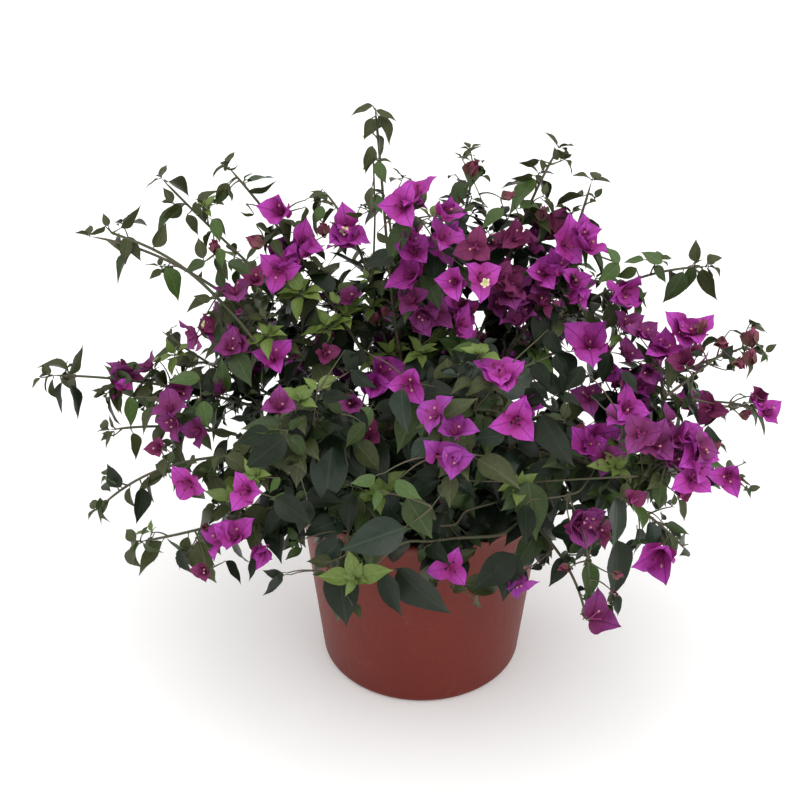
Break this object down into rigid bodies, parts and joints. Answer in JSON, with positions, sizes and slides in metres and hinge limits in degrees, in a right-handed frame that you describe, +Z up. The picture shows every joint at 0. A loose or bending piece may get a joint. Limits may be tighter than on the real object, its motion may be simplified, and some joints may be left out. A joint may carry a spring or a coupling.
{
  "type": "potted bougainvillea",
  "caption": "Young flowering bougainvillea shrub with long arching shoots, purple bracts and a bushy leafy crown, in a round plastic pot.",
  "frame": {"origin": "centre of the pot's flat underside, on the floor", "axes": "+Z up along the pot's axis, +X towards the viewer's right in the picture, -Y towards the viewer"},
  "size_m": [0.7652, 0.5384, 0.6081],
  "materials": {
    "pot_plastic": "satin, terracotta brown",
    "potting_soil": "rough, damp",
    "bark": "matte grey-brown bark, greener on young shoots",
    "foliage": "soft satin leaves",
    "bracts": "matte papery bracts among leaves"
  },
  "bodies": {
    "root": {"pot": "pot_plastic", "potting_soil": "potting_soil", "trunk": "bark", "bough_left_long": "bark", "mass_left_long": "bracts", "bough_left_mid": "bark", "mass_left_mid": "bracts", "bough_left_arching": "bark", "mass_left_arching": "bracts", "bough_left_low": "bark", "mass_left_low": "foliage", "bough_left_rear": "bark", "mass_left_rear": "foliage", "bough_upper_left_long": "bark", "mass_upper_left_long": "foliage", "bough_upper_left_curved": "bark", "mass_upper_left_curved": "foliage", "bough_upper_left_straight": "bark", "mass_upper_left_straight": "bracts", "bough_top_whip": "bark", "mass_top_whip": "foliage", "bough_top_left": "bark", "mass_top_left": "bracts", "mass_top_blossom": "bracts", "bough_top_bud": "bark", "mass_top_bud": "bracts", "bough_upper_right_long": "bark", "mass_upper_right_long": "bracts", "bough_upper_right_short": "bark", "mass_upper_right_short": "bracts", "bough_right_top": "bark", "mass_right_top": "bracts", "bough_right_bud": "bark", "mass_right_bud": "bracts", "bough_right_thin": "bark", "mass_right_thin": "bracts", "bough_right_mid": "bark", "mass_right_mid": "bracts", "bough_right_low": "bark", "mass_right_low": "bracts", "bough_right_front": "bark", "mass_right_front": "bracts", "bough_front_right": "bark", "mass_front_right": "foliage", "mass_front_low": "foliage", "mass_front_left_low": "foliage", "mass_front_dome": "foliage", "mass_front_left_dome": "foliage", "bough_rear_left_low": "bark", "mass_rear_left_low": "bracts", "bough_rear_low": "bark", "mass_rear_low": "foliage", "bough_rear_right_low": "bark", "mass_rear_right_low": "bracts", "mass_rear_dome": "bracts"}
  },
  "joints": []
}
